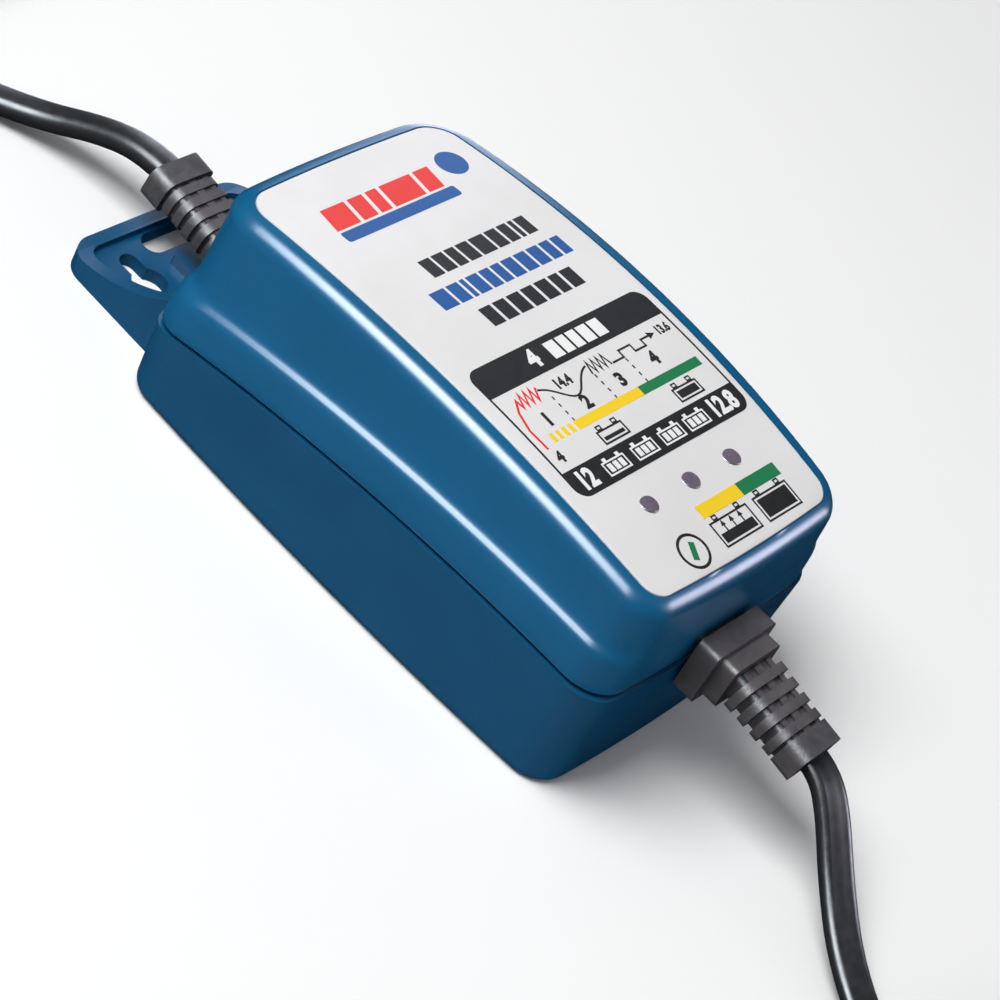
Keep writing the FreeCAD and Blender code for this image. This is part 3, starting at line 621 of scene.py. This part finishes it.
# panel with the charging steps
black += rounded(-21.3, 22.8, -6.2, -0.5, (2.4, 2.4, 0, 0))
black += rounded(-21.3, 22.8, -26.9, -21.8, (0, 0, 2.4, 2.4))
black += rect(-21.3, -20.9, -21.8, -6.2) + rect(22.4, 22.8, -21.8, -6.2)
white += digits("4", -7.5, -3.4, 3.3) + blocks(-3.6, 10.0, -3.4, 3.3, (2.3, 1.9, 1.9, 2.2, 2.3), 0.5)
red += stroke([(-19.4, -17.4), (-19.6, -13.5), (-18.6, -10.2), (-17.2, -8.2), (-16.9, -9.8), (-15.9, -7.4),
               (-15.7, -9.8), (-14.6, -7.4), (-14.4, -9.8), (-13.3, -7.4), (-13.1, -9.8), (-12.0, -7.6)], 0.42)
curve = [(-12.0 + 0.75 * k, -8.0 - 4.0 * math.exp(-(((-12.0 + 0.75 * k) + 6.0) / 3.6) ** 2)) for k in range(17)]
black += stroke(curve, 0.36)
zigzag = [(0.0 + 0.62 * k, -7.7 if k % 2 else -10.0) for k in range(9)]
black += stroke(zigzag, 0.32)
black += stroke([(5.3, -9.9), (8.2, -9.9), (8.2, -8.5), (11.2, -8.5),
                 (11.2, -9.9), (14.0, -9.9), (14.0, -8.6), (16.2, -8.6)], 0.36)
black += [[(16.0, -9.3), (17.6, -8.6), (16.0, -7.9)]]
for x in (-10.6, 0.2, 8.2):
    for k in range(4):
        black += rect(x - 0.14, x + 0.14, -10.9 - 1.5 * k, -10.2 - 1.5 * k)
for figure, x, y in (("1", -14.9, -13.2), ("2", -5.6, -13.6), ("3", 3.9, -13.0), ("4", 13.2, -12.4)):
    black += digits(figure, x, y, 2.5)
black += digits("14.4", -6.4, -8.9, 1.9, 0.85) + digits("13.6", 19.8, -8.6, 1.7, 0.8) + digits("4", -18.6, -19.4, 2.0)
for k in range(4):
    yellow += rect(-17.2 + 1.5 * k, -16.4 + 1.5 * k, -17.0, -15.3)
yellow += rect(-11.2, 5.4, -17.0, -15.3)
green += rect(5.4, 20.8, -17.0, -15.3)


def battery(x, y, w, h, fill, ink):
    """A battery sign: a box with two posts, filled to a level."""
    out = frame_of(x - w / 2, x + w / 2, y - h / 2, y + h / 2, 0.32)
    out += rect(x - w / 2 + 0.7, x + w / 2 - 0.7, y - h / 2 + 0.65, y - h / 2 + 0.65 + fill * (h - 1.3))
    for s in (-1, 1):
        px = x + s * w * 0.3
        out += frame_of(px - 0.6, px + 0.6, y + h / 2, y + h / 2 + 0.9, 0.25)
    ink += out


battery(-6.0, -19.9, 6.2, 2.6, 0.5, black)
battery(13.8, -19.7, 6.2, 2.7, 1.0, black)
white += digits("12", -17.6, -24.4, 3.3, 0.85) + digits("12.8", 17.6, -24.4, 3.3, 0.85)
for x in (-10.4, -3.2, 3.8, 10.4):
    white += frame_of(x - 2.7, x + 2.7, -25.9, -23.3, 0.3)
    white += blocks(x - 1.9, x + 1.9, -24.6, 1.5, (1.2, 1.2, 1.2), 0.4)
    for s in (-1, 1):
        white += rect(x + s * 1.6 - 0.4, x + s * 1.6 + 0.4, -23.3, -22.7)
yellow += rect(-3.5, 7.1, -38.5, -36.2)
green += rect(7.1, 17.2, -38.5, -36.2)
battery(1.3, -41.8, 9.6, 4.6, 0.5, black)
battery(12.3, -41.8, 9.0, 4.6, 1.0, black)
for k in (-1, 0, 1):
    black += [[(1.3 + 2.2 * k - 0.55, -40.8), (1.3 + 2.2 * k + 0.55, -40.8), (1.3 + 2.2 * k, -39.8)]]
    black += rect(1.3 + 2.2 * k - 0.14, 1.3 + 2.2 * k + 0.14, -42.0, -40.8)
black += band(-9.9, -41.8, 2.6, 3.1)
green += stroke([(-9.2, -40.4), (-10.6, -43.2)], 1.1)
printed("print_red", red, INK_RED, 0.03)
printed("print_blue", blue, INK_BLUE, 0.03)
printed("print_black", black, INK_BLACK, 0.03)
printed("print_yellow", yellow, INK_YELLOW, 0.04)
printed("print_green", green, INK_GREEN, 0.04)
printed("print_white", white, INK_WHITE, 0.06)


WINDOW_Y = -32.2


def light_windows():
    """Three domed light windows standing a hair above the label."""
    verts, faces = [], []
    n = 36
    for x in (-10.8, 0.0, 10.8):
        surface = skin(x, WINDOW_Y)
        dome = [(1.7, 0.02), (1.62, 0.1), (1.4, 0.14), (0.8, 0.17), (0.02, 0.18)]
        profile = [(0.02, 14.6), (1.7, 14.6)] + [(r, surface + rise) for r, rise in dome]
        base = len(verts)
        turns = [2 * math.pi * k / n for k in range(n)]
        rings = [[(x + r * math.cos(a), WINDOW_Y + r * math.sin(a), z) for a in turns] for r, z in profile]
        v, f = loft(rings)
        verts += v
        faces += [tuple(i + base for i in face) for face in f]
    return new_piece("light_windows", verts, faces, WINDOW, sharp=40, replaced=("light_pipes",))


light_windows()

# ---- floor and light ----
size = 3.0
mesh = bpy.data.meshes.new("floor")
mesh.from_pydata([(-size, -size, 0), (size, -size, 0), (size, size, 0), (-size, size, 0)], [], [(0, 1, 2, 3)])
floor = bpy.data.objects.new("floor", mesh)
scene.collection.objects.link(floor)
FLOOR = material(
    "floor_white", (250, 250, 250), (249, 249, 249), patch=3, rough=(0.9, 0.95), grain=40, bump=0.0, level=0.2
)
mesh.materials.append(FLOOR)


def area_light(name, spot, aim, width, height, power, colour=(1, 1, 1), sheen_only=False):
    """A soft panel; one that is sheen_only shows in glossy reflections and adds no diffuse light."""
    data = bpy.data.lights.new(name, "AREA")
    data.shape = "RECTANGLE"
    data.size = width
    data.size_y = height
    data.energy = power
    data.color = colour
    obj = bpy.data.objects.new(name, data)
    scene.collection.objects.link(obj)
    obj.location = spot
    back = (Vector(spot) - Vector(aim)).normalized()
    across = Vector((0, 1, 0)).cross(back).normalized()
    along = back.cross(across)
    obj.rotation_euler = Matrix((across, along, back)).transposed().to_euler()
    obj.visible_diffuse = not sheen_only


area_light("key", (-0.30, 0.26, 0.80), (0, 0, 0.03), 0.5, 0.5, 7.0)
area_light("edge_sheen", (-0.44, 0.22, 0.74), (0, 0, 0.03), 0.62, 0.8, 34.0, (0.86, 0.94, 1.0), True)
area_light("rim_sheen", (0.80, 0.55, 0.12), (0, 0, 0.03), 0.9, 0.3, 3.4, (0.82, 0.84, 1.0), True)
area_light("front_sheen", (0.62, -0.58, 0.26), (0, -0.03, 0.02), 0.4, 0.24, 5.0, (0.84, 0.82, 1.0), True)
area_light("front_fill", (0.5, -0.8, 0.5), (0, -0.03, 0.02), 0.4, 0.4, 0.4)
world = bpy.data.worlds.new("studio")
scene.world = world
world.use_nodes = True
world.cycles_visibility.glossy = False
floor.visible_glossy = False
world.node_tree.nodes["Background"].inputs["Color"].default_value = (1, 1, 1, 1)
world.node_tree.nodes["Background"].inputs["Strength"].default_value = 0.26
scene.view_settings.view_transform = "Standard"
